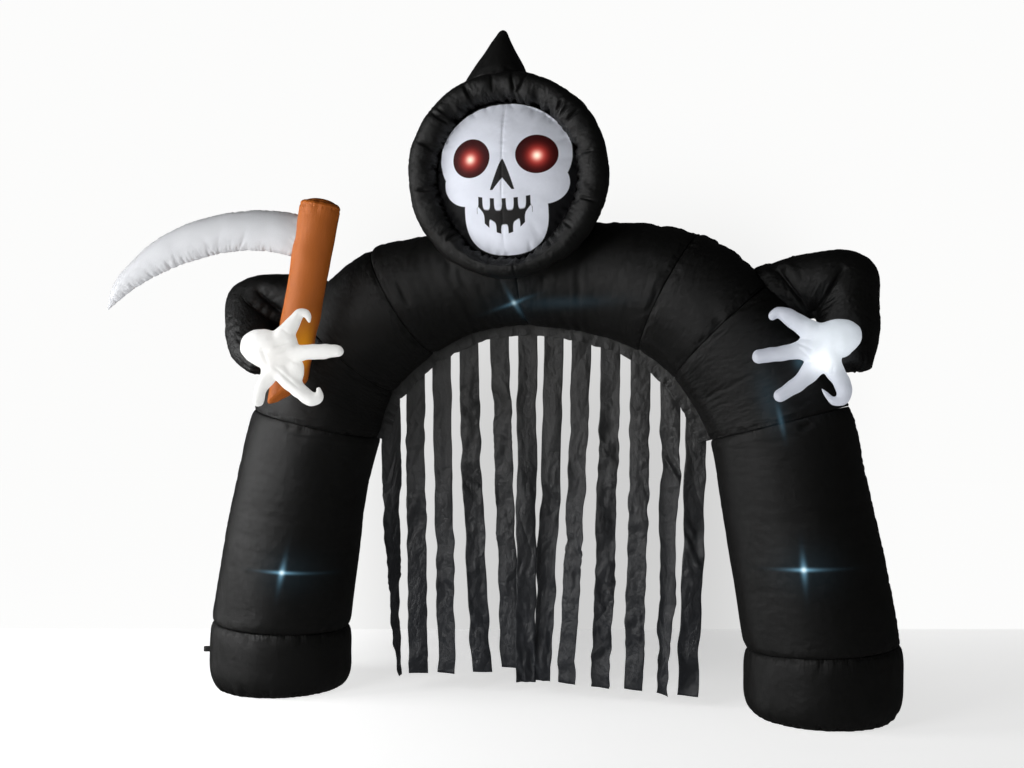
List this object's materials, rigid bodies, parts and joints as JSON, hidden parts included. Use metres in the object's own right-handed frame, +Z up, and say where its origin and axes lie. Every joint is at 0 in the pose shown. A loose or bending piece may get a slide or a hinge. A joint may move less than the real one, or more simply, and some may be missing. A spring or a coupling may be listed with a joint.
{
  "type": "inflatable arch",
  "caption": "Walk-through inflatable arch of black fabric tubes with a hooded skull-faced head, two arms with gloves, a scythe, padded feet and a hanging strip curtain.",
  "frame": {"origin": "bottom centre of the bounding box, on the floor", "axes": "+Z up, the front faces -Y, the arch spans X"},
  "size_m": [3.2265, 0.834, 2.74],
  "materials": {
    "black_polyester": "thin satin woven polyester, taut over air, gathered at its seams",
    "curtain_cloth": "thin crinkled matte cloth strips",
    "glove_cloth": "white satin polyester, lit from inside",
    "face_print": "printed white satin polyester with dark red eye sockets lit from behind",
    "pole_cloth": "brown satin polyester",
    "blade_cloth": "pale grey satin polyester",
    "webbing": "flat black webbing"
  },
  "bodies": {
    "root": {"foot_left": "black_polyester", "foot_right": "black_polyester", "leg_left": "black_polyester", "leg_right": "black_polyester", "shoulder_left": "black_polyester", "shoulder_right": "black_polyester", "upper_left": "black_polyester", "upper_right": "black_polyester", "crown_left": "black_polyester", "crown_right": "black_polyester", "sleeve_left": "black_polyester", "sleeve_right": "black_polyester", "hood_brim": "black_polyester", "hood_back": "black_polyester", "hood_tip": "black_polyester", "curtain_band": "curtain_cloth", "strip_01": "curtain_cloth", "strip_02": "curtain_cloth", "strip_03": "curtain_cloth", "strip_04": "curtain_cloth", "strip_05": "curtain_cloth", "strip_06": "curtain_cloth", "strip_07": "curtain_cloth", "strip_08": "curtain_cloth", "strip_09": "curtain_cloth", "strip_10": "curtain_cloth", "strip_11": "curtain_cloth", "strip_12": "curtain_cloth", "hand_left": "glove_cloth", "hand_right": "glove_cloth", "face_panel": "face_print", "scythe_pole": "pole_cloth", "scythe_blade": "blade_cloth", "tether_loop": "webbing"}
  },
  "joints": []
}
